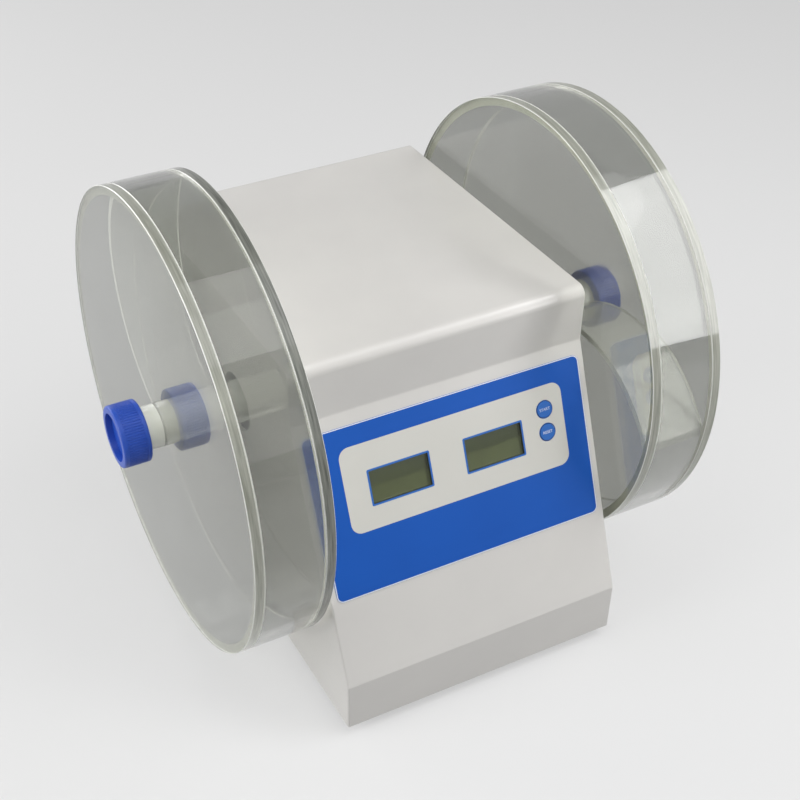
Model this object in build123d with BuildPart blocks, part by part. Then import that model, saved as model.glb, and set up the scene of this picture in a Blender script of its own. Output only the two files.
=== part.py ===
from build123d import *
from math import acos, atan2, cos, pi, radians, sin, sqrt, tan
import os

os.makedirs("parts", exist_ok=True)

# Two-drum tablet friability tester, in millimetres.
# X runs along the drum axis, the sloped control panel faces -Y, and +Z is up.
# The origin is on the table, straight below the middle of the drum axis.

# Cabinet outline
cabinet_width = 198.0
front_y = -146.0
back_y = 145.0
panel_top_y = -80.5
foot_height = 8.0
lip_height = 35.5
panel_top_height = 195.0
cabinet_height = 232.0
sheet = 2.0
lip_bend = 3.0
crease_bend = 4.0
brow_bend = 7.0
rear_bend = 6.0
flange_width = 14.0
top_flange_drop = 16.0
sheet_gap = 0.3
seam_gap = 0.1
edge_round = 1.2
shaft_opening_radius = 19.5

# Feet and fasteners
foot_radius = 10.0
foot_inset_x = 20.0
foot_inset_y = 22.0
foot_edge_round = 1.5
screw_radius = 1.5
screw_head_radius = 2.8
screw_head_height = 1.8
screw_length = 6.0
head_side_share = 0.6
head_top_share = 0.7
cross_share = 0.4
foot_screw_radius = 2.0
foot_screw_head_radius = 4.0
foot_screw_head_height = 2.4
foot_recess_depth = 4.0
hole_clearance = 0.1
rear_screw_margin = 10.0
base_screw_margin = 36.0

# Drums
axis_height = 162.0
drum_bore_radius = 143.0
drum_wall = 6.0
drum_depth = 38.0
plate_thickness = 6.0
acrylic_edge = 0.4
drum_side_gap = 7.5
hub_radius = 14.0
hub_bore_radius = 6.5
spigot_radius = 10.0
neck_length = 10.0
neck_gap = 0.1
lid_seat_gap = 0.1
hub_end_gap = 1.0
scoop_inner_radius = 80.5
scoop_thickness = 4.0
scoop_centre_distance = 90.0
left_scoop_angle = 106.0
right_scoop_angle = 218.0
glue_gap = 0.05
lid_clearance = 0.3

# Knobs
knob_radius = 20.0
knob_length = 18.0
knob_recess_radius = 15.5
knob_recess_depth = 4.0
knob_draft = 0.6
knob_thread_depth = 11.0
knob_thread_clearance = 0.06
knob_edge_round = 1.4
knob_grip_count = 72
knob_grip_radius = 0.45
knob_grip_margin = 3.0

# Shaft, sockets and bearings
shaft_radius = 6.0
shaft_length = 104.0
shaft_clearance = 0.03
shaft_chamfer = 0.6
socket_radius = 18.0
socket_depth = 30.0
socket_grip = 10.0
socket_clearance = 0.05
cross_pin_radius = 2.0
grub_radius = 2.0
grub_sink = 1.0
bearing_outer_radius = 14.0
bearing_width = 8.0
race_wall = 2.1
ball_radius = 2.3
ball_clearance = 0.15
ball_count = 8
block_thickness = 12.0
block_width = 40.0
block_foot_width = 68.0
block_foot_height = 10.0
block_shoulder = 3.0
block_setback = 6.0
block_screw_inset = 7.0
block_screw_radius = 2.5
block_screw_head_radius = 4.5
block_screw_head_height = 3.0

# Gears
gear_module = 1.25
drive_teeth = 64
pinion_teeth = 20
pressure_angle = 20.0
gear_backlash = 0.24
tooth_root_share = 1.25
tooth_tip_share = 0.9
flank_start_share = 0.02
gear_width = 10.0
gear_boss_radius = 12.0
gear_boss_length = 8.0
gear_web_hole_radius = 8.0
gear_web_hole_count = 6

# Gear motor
motor_shaft_radius = 4.0
motor_shaft_stub = 1.0
gearbox_radius = 26.0
gearbox_length = 20.0
motor_radius = 22.0
motor_length = 36.0
bracket_sheet = 3.0
bracket_gap = 3.0
bracket_foot_length = 30.0
bracket_screw_inset = 10.0
bracket_margin = 4.0
motor_boss_radius = 9.0
motor_screw_circle = 19.0

# Turn counter
disc_radius = 26.0
disc_thickness = 1.5
disc_boss_radius = 9.0
disc_boss_length = 5.0
disc_gap = 8.0
disc_slot_count = 4
disc_slot_width = 3.0
sensor_slot = 4.0
sensor_arm = 5.0
sensor_reach = 16.0
sensor_bite = 7.0
sensor_height = 12.0
sensor_bracket_sheet = 2.0

# Front label, displays and buttons, measured on the sloped panel, with rises from the label's middle
label_width = 189.0
label_height = 107.0
label_top_margin = 8.925
label_thickness = 0.4
label_corner = 4.5
display_width = 40.4
display_height = 21.0
display_rise = 11.5
left_display_x = -39.2
right_display_x = 27.0
window_thickness = 1.5
window_gap = 0.1
module_margin = 3.0
module_depth = 8.0
button_x = 65.6
start_button_rise = 25.0
reset_button_rise = 10.0
button_radius = 5.4
button_clearance = 0.4
button_rise = 0.5
button_dome = 0.3
button_flange = 1.6
button_flange_thickness = 1.0
button_flange_gap = 0.5
button_travel = 0.8
button_spare = 0.1
button_stem_radius = 2.0
button_stem_length = 0.6
switch_size = 6.0

# Control board
board_margin = 9.0
board_height = 52.0
board_thickness = 1.6
post_radius = 3.0
post_inset = 5.0
chip_length = 14.0
chip_width = 10.0
chip_height = 2.4

# Power supply
power_board_width = 70.0
power_board_depth = 70.0
power_post_gap = 2.0
power_board_y = -85.0
power_post_height = 6.0
transformer_width = 36.0
transformer_depth = 32.0
transformer_height = 30.0
transformer_chamfer = 2.0
capacitor_radius = 6.0
capacitor_height = 20.0

# Mains inlet with its fuse drawer
inlet_screw_gap = 5.0
inlet_height = 34.0
inlet_body_width = 28.0
inlet_body_height = 37.0
inlet_body_depth = 30.0
inlet_flange_width = 50.0
inlet_flange_height = 42.0
inlet_flange_thickness = 2.5
inlet_screw_spacing = 40.0
inlet_screw_head_height = 1.2
socket_width = 24.0
socket_height = 16.0
socket_recess = 18.0
socket_rise = 8.0
socket_corner = 4.0
pin_width = 2.0
pin_height = 4.0
pin_length = 14.0
pin_spacing = 7.0
earth_pin_rise = 2.5
drawer_width = 20.0
drawer_height = 8.5
drawer_drop = 11.5
drawer_length = 24.0
drawer_clearance = 0.3
drawer_lip = 1.2
drawer_wall = 1.2
fuse_radius = 2.6
fuse_length = 20.0

# Power switch
switch_gap = 15.9
switch_height = 34.0
rocker_radius = 10.6
rocker_width = 13.4
rocker_clearance = 0.4
rocker_tilt = 10.0
rocker_pivot_depth = 7.6
rocker_valley = 7.0
rocker_rise = 9.4
rocker_tail = 3.0
frame_border = 4.0
frame_thickness = 2.0
frame_body_inset = 1.6
frame_body_depth = 24.0
frame_floor = 8.0

# Rear panel vents
vent_count = 9
vent_pitch = 8.0
vent_width = 3.0
vent_length = 56.0
vent_height = 172.0

# Places worked out from the sizes above
floor_z = foot_height
axis_z = floor_z + axis_height
crease_z = floor_z + lip_height
brow_z = floor_z + panel_top_height
top_z = floor_z + cabinet_height
half_width = cabinet_width / 2
tray_top = floor_z + sheet
rear_opening_top = top_z - top_flange_drop
tray_side = half_width - sheet - sheet_gap
drum_inner_x = half_width + drum_side_gap
ring_inner_x = drum_inner_x + plate_thickness + glue_gap
ring_outer_x = ring_inner_x + drum_depth
lid_inner_x = ring_outer_x + lid_seat_gap
lid_outer_x = lid_inner_x + plate_thickness
knob_inner_x = lid_outer_x + neck_length
drum_radius = drum_bore_radius + drum_wall
socket_floor_x = shaft_length / 2
socket_mouth_x = socket_floor_x + socket_depth
socket_back_x = socket_floor_x - socket_grip
block_x = socket_back_x - block_setback - block_thickness / 2
hub_inner_x = socket_floor_x + hub_end_gap
hub_outer_x = knob_inner_x + knob_thread_depth - hub_end_gap
panel_run = panel_top_y - front_y
panel_rise = panel_top_height - lip_height
panel_angle = atan2(panel_run, panel_rise)
panel_length = sqrt(panel_run**2 + panel_rise**2)
panel_plane = Plane(
    origin=(0, front_y, crease_z),
    x_dir=(1, 0, 0),
    z_dir=(0, -cos(panel_angle), sin(panel_angle)),
)
panel_normal = Axis(panel_plane.origin, panel_plane.z_dir)
rear_plane = Plane(origin=(0, back_y, 0), x_dir=(-1, 0, 0), z_dir=(0, 1, 0))
upward = (Align.CENTER, Align.CENTER, Align.MIN)
downward = (Align.CENTER, Align.CENTER, Align.MAX)
sides = (("left", -1, left_scoop_angle), ("right", 1, right_scoop_angle))
screw_hole = screw_radius + hole_clearance
flange_middle_x = half_width - flange_width / 2
rear_screw_low = tray_top + rear_screw_margin
rear_screw_high = rear_opening_top - rear_screw_margin
rear_screw_places = [
    (side * flange_middle_x, z)
    for side in (-1, 1)
    for z in (rear_screw_low, (rear_screw_low + rear_screw_high) / 2, rear_screw_high)
]
base_screw_places = [
    (side * flange_middle_x, y)
    for side in (-1, 1)
    for y in (front_y + base_screw_margin, (front_y + back_y) / 2, back_y - base_screw_margin)
]
foot_places = [
    (x, y)
    for x in (foot_inset_x - half_width, half_width - foot_inset_x)
    for y in (front_y + foot_inset_y, back_y - foot_inset_y)
]
block_screw_places = [
    (side * block_x, end * (block_foot_width / 2 - block_screw_inset))
    for side in (-1, 1)
    for end in (-1, 1)
]
label_centre = panel_length - label_top_margin - label_height / 2
display_centre = label_centre + display_rise
start_button_centre = label_centre + start_button_rise
reset_button_centre = label_centre + reset_button_rise
display_places = [(left_display_x, display_centre), (right_display_x, display_centre)]
button_places = [(button_x, start_button_centre), (button_x, reset_button_centre)]
board_low_x = left_display_x - display_width / 2 - module_margin - board_margin
board_high_x = button_x + button_radius + button_flange + board_margin
board_width = board_high_x - board_low_x
board_centre_x = (board_low_x + board_high_x) / 2
board_top = -sheet - module_depth
board_post_places = [
    (
        board_centre_x + i * (board_width / 2 - post_inset),
        display_centre + j * (board_height / 2 - post_inset),
    )
    for i in (-1, 1)
    for j in (-1, 1)
]
power_post_low_x = flange_width + power_post_gap + post_radius - half_width
power_board_x = power_post_low_x - post_inset + power_board_width / 2
power_post_places = [
    (
        power_board_x + i * (power_board_width / 2 - post_inset),
        power_board_y + j * (power_board_depth / 2 - post_inset),
    )
    for i in (-1, 1)
    for j in (-1, 1)
]
gear_distance = gear_module * (drive_teeth + pinion_teeth) / 2
bracket_x = gear_width / 2 + bracket_gap
gearbox_x = bracket_x + bracket_sheet
bracket_half_span = gearbox_radius + bracket_margin
bracket_span = (gear_distance - bracket_half_span, gear_distance + bracket_half_span)
bracket_screw_places = [
    (bracket_x - bracket_foot_length / 2, y)
    for y in (bracket_span[0] + bracket_screw_inset, bracket_span[1] - bracket_screw_inset)
]
inlet_x = flange_width + inlet_screw_gap + inlet_screw_spacing / 2 - half_width
inlet_z = floor_z + inlet_height
inlet_screw_places = [(-inlet_x + side * inlet_screw_spacing / 2, inlet_z) for side in (-1, 1)]
switch_z = floor_z + switch_height
frame_width = rocker_width + 2 * (rocker_clearance + frame_border)
frame_height = 2 * (rocker_radius + rocker_clearance + frame_border)
switch_x = inlet_x + inlet_flange_width / 2 + switch_gap + frame_width / 2


def across(x, y=0.0, z=axis_z, turn=0.0):
    """A plane square to the drum axis, whose own X starts at +Y and is turned about the axis."""
    return Plane(
        origin=(x, y, z),
        x_dir=(0, cos(radians(turn)), sin(radians(turn))),
        z_dir=(1, 0, 0),
    )


def bar_x(x0, x1, radius, y=0.0, z=axis_z, mode=Mode.ADD):
    """A round bar along X, in the part being built."""
    with Locations(((x0 + x1) / 2, y, z)):
        Cylinder(radius, abs(x1 - x0), rotation=(0, 90, 0), mode=mode)


def slab(x, y, z, mode=Mode.ADD):
    """A box from the low to the high end of each axis, in the part being built."""
    with Locations(((x[0] + x[1]) / 2, (y[0] + y[1]) / 2, (z[0] + z[1]) / 2)):
        Box(abs(x[1] - x[0]), abs(y[1] - y[0]), abs(z[1] - z[0]), mode=mode)


def on_plane(plane, points):
    """Places at flat points on a plane, standing along its normal."""
    return Locations(*[plane.location * Location((x, y, 0)) for x, y in points])


def drill(plane, points, radius, depth):
    """Round holes that reach the depth on both sides of a plane, in the part being built."""
    with on_plane(plane, points):
        Cylinder(radius, 2 * depth, mode=Mode.SUBTRACT)


def pan_screws(plane, points, radius, head_radius, head_height, length):
    """Cross-head screws whose heads stand on a plane and whose shanks go down through it."""
    side_height = head_side_share * head_height
    with on_plane(plane, points):
        Cylinder(head_radius, side_height, align=upward)
        Cylinder(radius, length, align=downward)
    with on_plane(plane.offset(side_height), points):
        Cone(head_radius, head_top_share * head_radius, head_height - side_height, align=upward)
    with on_plane(plane.offset(head_height), points):
        Box(head_radius, cross_share * radius, head_height, mode=Mode.SUBTRACT)
        Box(cross_share * radius, head_radius, head_height, mode=Mode.SUBTRACT)


def widest_edges(piece):
    """The circular edges of a round part that have the largest radius."""
    return piece.edges().filter_by(GeomType.CIRCLE).group_by(SortBy.RADIUS)[-1]


def write(name, piece):
    """Label a finished piece and save it under its own name."""
    piece.part.label = name
    export_step(piece.part, f"parts/{name}.step")


# Cabinet outline, and the folded sheet that makes its front, top and rear lip
with BuildLine() as cabinet_outline:
    FilletPolyline(
        (front_y, floor_z),
        (front_y, crease_z),
        (panel_top_y, brow_z),
        (panel_top_y, top_z),
        (back_y, top_z),
        (back_y, floor_z),
        radius=(0, lip_bend, crease_bend, brow_bend, rear_bend, 0),
        close=True,
    )


def lining(inset):
    """The outline inset under the folded sheet, carried on to the floor and the back."""
    with BuildSketch(Plane.YZ) as profile:
        make_face(cabinet_outline.edges())
        offset(amount=-inset)
        with Locations((front_y + inset, floor_z)):
            Rectangle(back_y - front_y - inset, 2 * inset, align=(Align.MIN, Align.MIN))
        with Locations((back_y, floor_z)):
            Rectangle(2 * inset, rear_opening_top + sheet - inset - floor_z, align=(Align.MAX, Align.MIN))
    return profile.sketch_local


with BuildPart() as housing_wrap:
    with BuildSketch(Plane.YZ.offset(-half_width)):
        make_face(cabinet_outline.edges())
    extrude(amount=cabinet_width)
    end_edges = housing_wrap.faces().filter_by(Axis.X).edges()
    fillet(
        [
            edge
            for edge in end_edges
            if edge.center().Z > floor_z + sheet and edge.center().Y < back_y - sheet
        ],
        edge_round,
    )
    with BuildSketch(Plane.YZ.offset(-half_width)):
        add(lining(sheet))
    extrude(amount=cabinet_width, mode=Mode.SUBTRACT)
    with BuildSketch(panel_plane):
        with Locations(*display_places):
            Rectangle(display_width, display_height)
        with Locations(*button_places):
            Circle(button_radius + button_clearance)
    extrude(amount=-2 * sheet, mode=Mode.SUBTRACT)
write("housing_wrap", housing_wrap)

# Cabinet sides, each folded inward at the bottom and the back to take the screws
for name, side, angle in sides:
    outer = side * half_width
    inner = side * (half_width - sheet)
    fold = side * (half_width - flange_width)
    with BuildPart() as side_panel:
        with BuildSketch(Plane.YZ.offset(outer)):
            add(lining(sheet + seam_gap))
        extrude(amount=-side * sheet)
        slab((fold, inner), (front_y + 4 * sheet, back_y - sheet), (tray_top, tray_top + sheet))
        slab((fold, inner), (back_y - 2 * sheet, back_y - sheet), (tray_top, rear_opening_top - seam_gap))
        bar_x(outer, side * (half_width - 2 * sheet), shaft_opening_radius, mode=Mode.SUBTRACT)
        drill(Plane.XY.offset(tray_top), base_screw_places, screw_hole, 2 * sheet)
        drill(rear_plane, rear_screw_places, screw_hole, 3 * sheet)
    write(f"{name}_side_panel", side_panel)

# Base plate, standing on four rubber feet that are screwed up into it
with BuildPart() as base_plate:
    slab(
        (-tray_side, tray_side),
        (front_y + sheet + sheet_gap, back_y - sheet - sheet_gap),
        (floor_z, tray_top),
    )
    drill(Plane.XY.offset(floor_z), base_screw_places, screw_hole, 2 * sheet)
    drill(Plane.XY.offset(floor_z), foot_places, foot_screw_radius + hole_clearance, 2 * sheet)
    drill(Plane.XY.offset(floor_z), block_screw_places, block_screw_radius + hole_clearance, 2 * sheet)
    drill(Plane.XY.offset(floor_z), bracket_screw_places, screw_hole, 2 * sheet)
write("base_plate", base_plate)

with BuildPart() as rubber_feet:
    with Locations(*foot_places):
        Cylinder(foot_radius, foot_height, align=upward)
    fillet(rubber_feet.edges().group_by(Axis.Z)[0], foot_edge_round)
    with Locations(*foot_places):
        Cylinder(
            foot_screw_head_radius + lid_clearance, foot_recess_depth, align=upward, mode=Mode.SUBTRACT
        )
        Cylinder(
            foot_screw_radius + hole_clearance, foot_height, align=upward, mode=Mode.SUBTRACT
        )
write("rubber_feet", rubber_feet)

with BuildPart() as foot_screws:
    pan_screws(
        Plane(origin=(0, 0, foot_recess_depth), x_dir=(1, 0, 0), z_dir=(0, 0, -1)),
        [(x, -y) for x, y in foot_places],
        foot_screw_radius,
        foot_screw_head_radius,
        foot_screw_head_height,
        foot_height - foot_recess_depth + 2 * sheet,
    )
write("foot_screws", foot_screws)

# Rear panel with its vents and the openings for the inlet and the switch
with BuildPart() as rear_panel:
    with BuildSketch(rear_plane):
        with Locations((0, floor_z)):
            Rectangle(
                2 * tray_side, rear_opening_top - sheet_gap - floor_z, align=(Align.CENTER, Align.MIN)
            )
        with Locations((0, vent_height)):
            with GridLocations(vent_pitch, 0, vent_count, 1):
                SlotOverall(vent_length, vent_width, rotation=90, mode=Mode.SUBTRACT)
        with Locations((-inlet_x, inlet_z)):
            Rectangle(
                inlet_body_width + 2 * sheet_gap, inlet_body_height + 2 * sheet_gap, mode=Mode.SUBTRACT
            )
        with Locations((-switch_x, switch_z)):
            Rectangle(
                frame_width - 2 * frame_body_inset + 2 * sheet_gap,
                frame_height - 2 * frame_body_inset + 2 * sheet_gap,
                mode=Mode.SUBTRACT,
            )
    extrude(amount=-sheet)
    drill(rear_plane, rear_screw_places + inlet_screw_places, screw_hole, 2 * sheet)
write("rear_panel", rear_panel)

with BuildPart() as cover_screws:
    for face, places in (
        (rear_plane, rear_screw_places),
        (
            Plane(origin=(0, 0, floor_z), x_dir=(1, 0, 0), z_dir=(0, 0, -1)),
            [(x, -y) for x, y in base_screw_places],
        ),
    ):
        pan_screws(face, places, screw_radius, screw_head_radius, screw_head_height, screw_length)
write("cover_screws", cover_screws)

# Front label and the two display windows
with BuildPart() as front_label:
    with BuildSketch(panel_plane):
        with Locations((0, label_centre)):
            RectangleRounded(label_width, label_height, label_corner)
        with Locations(*display_places):
            Rectangle(display_width, display_height, mode=Mode.SUBTRACT)
        with Locations(*button_places):
            Circle(button_radius + button_clearance, mode=Mode.SUBTRACT)
    extrude(amount=label_thickness)
write("front_label", front_label)

with BuildPart() as display_windows:
    with on_plane(panel_plane.offset(-sheet), display_places):
        Box(
            display_width - 2 * window_gap,
            display_height - 2 * window_gap,
            window_thickness,
            align=upward,
        )
write("display_windows", display_windows)

for name, place in zip(("left", "right"), display_places):
    with BuildPart() as display_module:
        with on_plane(panel_plane.offset(-sheet), [place]):
            Box(
                display_width + 2 * module_margin,
                display_height + 2 * module_margin,
                module_depth,
                align=downward,
            )
    write(f"{name}_display", display_module)

# Start and reset buttons, which slide in along the normal of the sloped panel
flange_top = -sheet - button_flange_gap
flange_back = flange_top - button_flange_thickness
stem_end = flange_back - button_stem_length
switch_top = stem_end - button_travel - button_spare
for name, place in zip(("start", "reset"), button_places):
    with BuildPart() as button:
        with on_plane(panel_plane.offset(flange_top), [place]):
            Cylinder(button_radius, label_thickness + button_rise - flange_top, align=upward)
        fillet(button.faces().sort_by(panel_normal)[-1].edges(), button_dome)
        with on_plane(panel_plane.offset(flange_top), [place]):
            Cylinder(button_radius + button_flange, button_flange_thickness, align=downward)
        with on_plane(panel_plane.offset(flange_back), [place]):
            Cylinder(button_stem_radius, button_stem_length, align=downward)
    write(f"{name}_button", button)

with BuildPart() as button_switches:
    with on_plane(panel_plane.offset(board_top), button_places):
        Box(switch_size, switch_size, switch_top - board_top, align=upward)
write("button_switches", button_switches)

# Control board behind the panel, on posts, with its chips on the inner side
with BuildPart() as control_board:
    with on_plane(panel_plane.offset(board_top), [(board_centre_x, display_centre)]):
        Box(board_width, board_height, board_thickness, align=downward)
    drill(panel_plane.offset(board_top), board_post_places, screw_hole, 2 * board_thickness)
write("control_board", control_board)

chip_places = [
    (board_centre_x - board_width / 4, display_centre),
    (board_centre_x, display_centre + board_height / 5),
    (board_centre_x + board_width / 4, display_centre - board_height / 6),
]
with BuildPart() as control_chips:
    with on_plane(panel_plane.offset(board_top - board_thickness), chip_places):
        Box(chip_length, chip_width, chip_height, align=downward)
write("control_chips", control_chips)

# Power supply board on its own posts, with the transformer and two capacitors
power_board_base = tray_top + power_post_height
power_board_top = power_board_base + board_thickness
with BuildPart() as power_board:
    with Locations((power_board_x, power_board_y, power_board_base)):
        Box(power_board_width, power_board_depth, board_thickness, align=upward)
    drill(Plane.XY.offset(power_board_base), power_post_places, screw_hole, 2 * board_thickness)
write("power_board", power_board)

transformer_y = power_board_y - power_board_depth / 8
with BuildPart() as transformer:
    with Locations((power_board_x, transformer_y, power_board_top)):
        Box(transformer_width, transformer_depth, transformer_height, align=upward)
    chamfer(transformer.edges().filter_by(Axis.Z), transformer_chamfer)
write("transformer", transformer)

capacitor_y = transformer_y + transformer_depth / 2 + 2 * capacitor_radius
with BuildPart() as capacitors:
    with Locations((power_board_x, capacitor_y, power_board_top)):
        with GridLocations(3 * capacitor_radius, 0, 2, 1):
            Cylinder(capacitor_radius, capacitor_height, align=upward)
    fillet(capacitors.edges().group_by(Axis.Z)[-1], capacitor_radius / 6)
write("capacitors", capacitors)

with BuildPart() as board_posts:
    for face, places, height in (
        (panel_plane.offset(board_top), board_post_places, module_depth),
        (Plane.XY.offset(tray_top), power_post_places, power_post_height),
    ):
        with on_plane(face, places):
            Cylinder(post_radius, height, align=upward)
            Cylinder(screw_hole, height, align=upward, mode=Mode.SUBTRACT)
write("board_posts", board_posts)

# Bearing blocks that stand on the base plate and carry the shaft
block_foot_top = tray_top + block_foot_height
bearing_seat_radius = bearing_outer_radius + hole_clearance / 2
with BuildPart() as bearing_blocks:
    for side in (-1, 1):
        near = side * (block_x - block_thickness / 2)
        far = side * (block_x + block_thickness / 2)
        slab((near, far), (-block_width / 2, block_width / 2), (tray_top, axis_z))
        bar_x(near, far, block_width / 2)
        slab((near, far), (-block_foot_width / 2, block_foot_width / 2), (tray_top, block_foot_top))
        bar_x(near, far, bearing_outer_radius - block_shoulder, mode=Mode.SUBTRACT)
        bar_x(near, near + side * bearing_width, bearing_seat_radius, mode=Mode.SUBTRACT)
    drill(
        Plane.XY.offset(block_foot_top),
        block_screw_places,
        block_screw_radius + hole_clearance,
        2 * block_foot_height,
    )
write("bearing_blocks", bearing_blocks)

with BuildPart() as block_screws:
    pan_screws(
        Plane.XY.offset(block_foot_top),
        block_screw_places,
        block_screw_radius,
        block_screw_head_radius,
        block_screw_head_height,
        block_foot_height + sheet,
    )
write("block_screws", block_screws)

# Ball bearings: an outer race, an inner race and loose balls on each side
ball_circle = (bearing_outer_radius + shaft_radius) / 2
groove = ball_radius + ball_clearance
outer_race_bore = bearing_outer_radius - race_wall
inner_race_radius = shaft_radius + race_wall
bearing_inner_x = block_x - block_thickness / 2
bearing_outer_x = bearing_inner_x + bearing_width


def race(side, inside, outside):
    """One race with its ball groove, in the part being built."""
    bar_x(side * bearing_inner_x, side * bearing_outer_x, outside)
    bar_x(side * bearing_inner_x, side * bearing_outer_x, inside, mode=Mode.SUBTRACT)
    with Locations(across(side * (bearing_inner_x + bearing_outer_x) / 2).location):
        Torus(ball_circle, groove, mode=Mode.SUBTRACT)


for name, inside, outside in (
    ("bearing_outer_races", outer_race_bore, bearing_outer_radius),
    ("bearing_inner_races", shaft_radius + shaft_clearance, inner_race_radius),
):
    with BuildPart() as races:
        race(-1, inside, outside)
        race(1, inside, outside)
    write(name, races)

with BuildPart() as bearing_balls:
    for side in (-1, 1):
        with Locations(across(side * (bearing_inner_x + bearing_outer_x) / 2).location):
            with PolarLocations(ball_circle, ball_count):
                Sphere(ball_radius)
write("bearing_balls", bearing_balls)

# Main shaft, and the two sockets that grip the drum hubs
with BuildPart() as main_shaft:
    bar_x(-socket_floor_x, socket_floor_x, shaft_radius)
    chamfer(main_shaft.edges().filter_by(GeomType.CIRCLE), shaft_chamfer)
write("main_shaft", main_shaft)

pin_x = (socket_mouth_x + socket_floor_x) / 2
grub_x = (socket_back_x + socket_floor_x) / 2
for name, side, angle in sides:
    with BuildPart() as drive_socket:
        bar_x(side * socket_back_x, side * socket_mouth_x, socket_radius)
        chamfer(drive_socket.edges().filter_by(GeomType.CIRCLE), shaft_chamfer)
        bar_x(side * socket_back_x, side * socket_mouth_x, shaft_radius + shaft_clearance, mode=Mode.SUBTRACT)
        bar_x(side * socket_floor_x, side * socket_mouth_x, hub_radius + socket_clearance, mode=Mode.SUBTRACT)
        with Locations((side * pin_x, 0, axis_z)):
            Cylinder(cross_pin_radius + hole_clearance / 2, 2 * drum_radius, mode=Mode.SUBTRACT)
        with Locations((side * grub_x, 0, axis_z)):
            Cylinder(
                grub_radius + hole_clearance / 2, 2 * socket_radius, align=upward, mode=Mode.SUBTRACT
            )
    write(f"{name}_drive_socket", drive_socket)

with BuildPart() as hub_cross_pins:
    with Locations((-pin_x, 0, axis_z), (pin_x, 0, axis_z)):
        Cylinder(cross_pin_radius, 2 * socket_radius)
write("hub_cross_pins", hub_cross_pins)

with BuildPart() as socket_grub_screws:
    with Locations((-grub_x, 0, axis_z + shaft_radius), (grub_x, 0, axis_z + shaft_radius)):
        Cylinder(grub_radius, socket_radius - shaft_radius - grub_sink, align=upward)
    with Locations(*[(side * grub_x, 0, axis_z + socket_radius - grub_sink) for side in (-1, 1)]):
        Cylinder(grub_radius / 2, grub_radius, align=downward, mode=Mode.SUBTRACT)
write("socket_grub_screws", socket_grub_screws)


# Spur gears with involute flanks
def involute(angle):
    """The involute function of a pressure angle."""
    return tan(angle) - angle


def gear_points(teeth, first_tooth):
    """Outline of a spur gear, with the middle of its first tooth at the given angle."""
    pitch = gear_module * teeth / 2
    base = pitch * cos(radians(pressure_angle))
    root = pitch - tooth_root_share * gear_module
    tip = pitch + tooth_tip_share * gear_module
    start = max(root, base) + flank_start_share * gear_module
    half_at_pitch = pi / (2 * teeth) - gear_backlash / (4 * pitch)

    def half_tooth(radius):
        pressure = acos(min(1.0, base / radius))
        return half_at_pitch + involute(radians(pressure_angle)) - involute(pressure)

    flank = [(root, half_tooth(start))]
    flank += [(r, half_tooth(r)) for r in (start, (start + pitch) / 2, pitch, (pitch + tip) / 2, tip)]
    points = []
    for tooth in range(teeth):
        middle = first_tooth + 2 * pi * tooth / teeth
        points += [(r * cos(middle - half), r * sin(middle - half)) for r, half in flank]
        points += [(r * cos(middle + half), r * sin(middle + half)) for r, half in reversed(flank)]
    return points


web_hole_circle = (gear_module * drive_teeth / 2 + gear_boss_radius) / 2
with BuildPart() as drive_gear:
    with BuildSketch(across(-gear_width / 2)):
        with BuildLine():
            Polyline(*gear_points(drive_teeth, 0), close=True)
        make_face()
        with PolarLocations(web_hole_circle, gear_web_hole_count):
            Circle(gear_web_hole_radius, mode=Mode.SUBTRACT)
    extrude(amount=gear_width)
    bar_x(gear_width / 2, gear_width / 2 + gear_boss_length, gear_boss_radius)
    bar_x(
        -gear_width / 2,
        gear_width / 2 + gear_boss_length,
        shaft_radius + shaft_clearance,
        mode=Mode.SUBTRACT,
    )
write("drive_gear", drive_gear)

facing_gap = pi - pi / pinion_teeth
with BuildPart() as motor_pinion:
    with BuildSketch(across(-gear_width / 2, gear_distance)):
        with BuildLine():
            Polyline(*gear_points(pinion_teeth, facing_gap), close=True)
        make_face()
        Circle(motor_shaft_radius + shaft_clearance, mode=Mode.SUBTRACT)
    extrude(amount=gear_width)
write("motor_pinion", motor_pinion)

# Gear motor on its bracket behind the shaft
motor_shaft_end = -gear_width / 2 - motor_shaft_stub
motor_pocket = gearbox_length / 3
with BuildPart() as motor_shaft:
    bar_x(motor_shaft_end, gearbox_x + motor_pocket, motor_shaft_radius, y=gear_distance)
    chamfer(motor_shaft.edges().filter_by(GeomType.CIRCLE), shaft_chamfer)
write("motor_shaft", motor_shaft)

motor_screw_places = [
    (i * motor_screw_circle / sqrt(2), j * motor_screw_circle / sqrt(2)) for i in (-1, 1) for j in (-1, 1)
]
motor_face = Plane(origin=(bracket_x, gear_distance, axis_z), x_dir=(0, 1, 0), z_dir=(-1, 0, 0))
with BuildPart() as motor_gearbox:
    bar_x(gearbox_x, gearbox_x + gearbox_length, gearbox_radius, y=gear_distance)
    chamfer(motor_gearbox.edges().filter_by(GeomType.CIRCLE), shaft_chamfer)
    bar_x(
        gearbox_x,
        gearbox_x + motor_pocket + hole_clearance,
        motor_shaft_radius + lid_clearance,
        y=gear_distance,
        mode=Mode.SUBTRACT,
    )
    drill(motor_face, motor_screw_places, screw_hole, screw_length + hole_clearance)
write("motor_gearbox", motor_gearbox)

with BuildPart() as gear_motor:
    bar_x(
        gearbox_x + gearbox_length, gearbox_x + gearbox_length + motor_length, motor_radius, y=gear_distance
    )
    fillet(gear_motor.faces().sort_by(Axis.X)[-1].edges(), motor_radius / 12)
write("gear_motor", gear_motor)

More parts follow.
